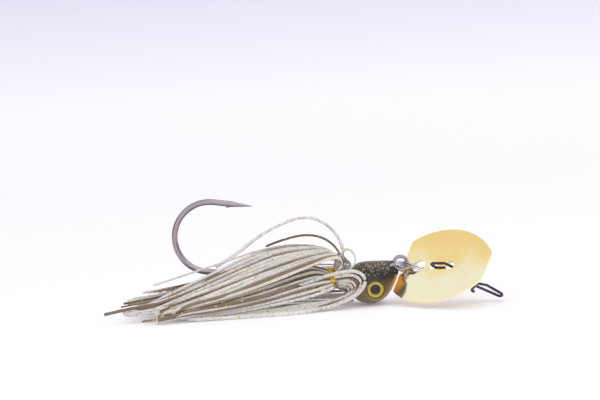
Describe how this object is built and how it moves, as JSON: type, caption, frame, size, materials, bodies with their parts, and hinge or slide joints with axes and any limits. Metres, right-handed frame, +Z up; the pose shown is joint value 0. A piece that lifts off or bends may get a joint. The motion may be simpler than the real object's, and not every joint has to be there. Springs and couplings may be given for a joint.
{
  "type": "bladed swim jig",
  "caption": "Fishing lure: cast fish head on an upturned hook, tied silicone skirt, and a swinging metal blade on a split ring with a line snap.",
  "frame": {"origin": "bottom centre of the whole lure lying at rest", "axes": "+X towards the nose and the blade, +Z up towards the hook's point; the hook is bent in the XZ plane"},
  "size_m": [0.1036, 0.0334, 0.0306],
  "materials": {
    "black_nickel": "polished black nickel plate on forged steel wire",
    "head_paint": "brown and olive paint with gold flakes under clear gloss, on a lead casting",
    "eye_foil": "printed foil: yellow iris and black pupil",
    "clear_resin": "clear cast resin",
    "gold_wire": "bright gold-coloured wire",
    "bright_steel": "polished stainless steel",
    "gold_plate": "mirror gold plating",
    "snap_wire": "black nickel spring wire",
    "silicone_pearl": "clear silicone with pearl and gold flakes",
    "silicone_brown": "dark brown silicone",
    "silicone_cream": "cream silicone with gold flakes"
  },
  "bodies": {
    "jig": {"hook": "black_nickel", "cast_head": "head_paint", "eye_foil_left": "eye_foil", "eye_foil_right": "eye_foil", "eye_dome_left": "clear_resin", "eye_dome_right": "clear_resin", "skirt_tie_wire": "gold_wire", "skirt_pearl_near": "silicone_pearl", "skirt_brown_near": "silicone_brown", "skirt_cream_near": "silicone_cream", "skirt_cream_far": "silicone_cream", "skirt_pearl_far": "silicone_pearl", "skirt_brown_far": "silicone_brown", "raised_strand_near": "silicone_brown", "raised_strand_far": "silicone_pearl"},
    "ring": {"split_ring": "bright_steel"},
    "blade": {"hex_blade": "gold_plate"},
    "snap": {"line_snap": "snap_wire"}
  },
  "joints": [
    {"name": "ring_lift", "type": "hinge", "parent": "jig", "child": "ring", "pos_m": [0.02505, 0.00075, 0.01083], "axis": [0, -1, 0], "range_deg": [0, 50]},
    {"name": "blade_swing", "type": "hinge", "parent": "ring", "child": "blade", "pos_m": [0.0301, -0.00107, 0.00938], "axis": [0.4029, 0.5568, 0.7264], "range_deg": [-45, 2]},
    {"name": "snap_swing", "type": "hinge", "parent": "blade", "child": "snap", "pos_m": [0.03568, -0.00515, 0.01021], "axis": [0.4029, 0.5568, 0.7264], "range_deg": [-6, 20]}
  ]
}
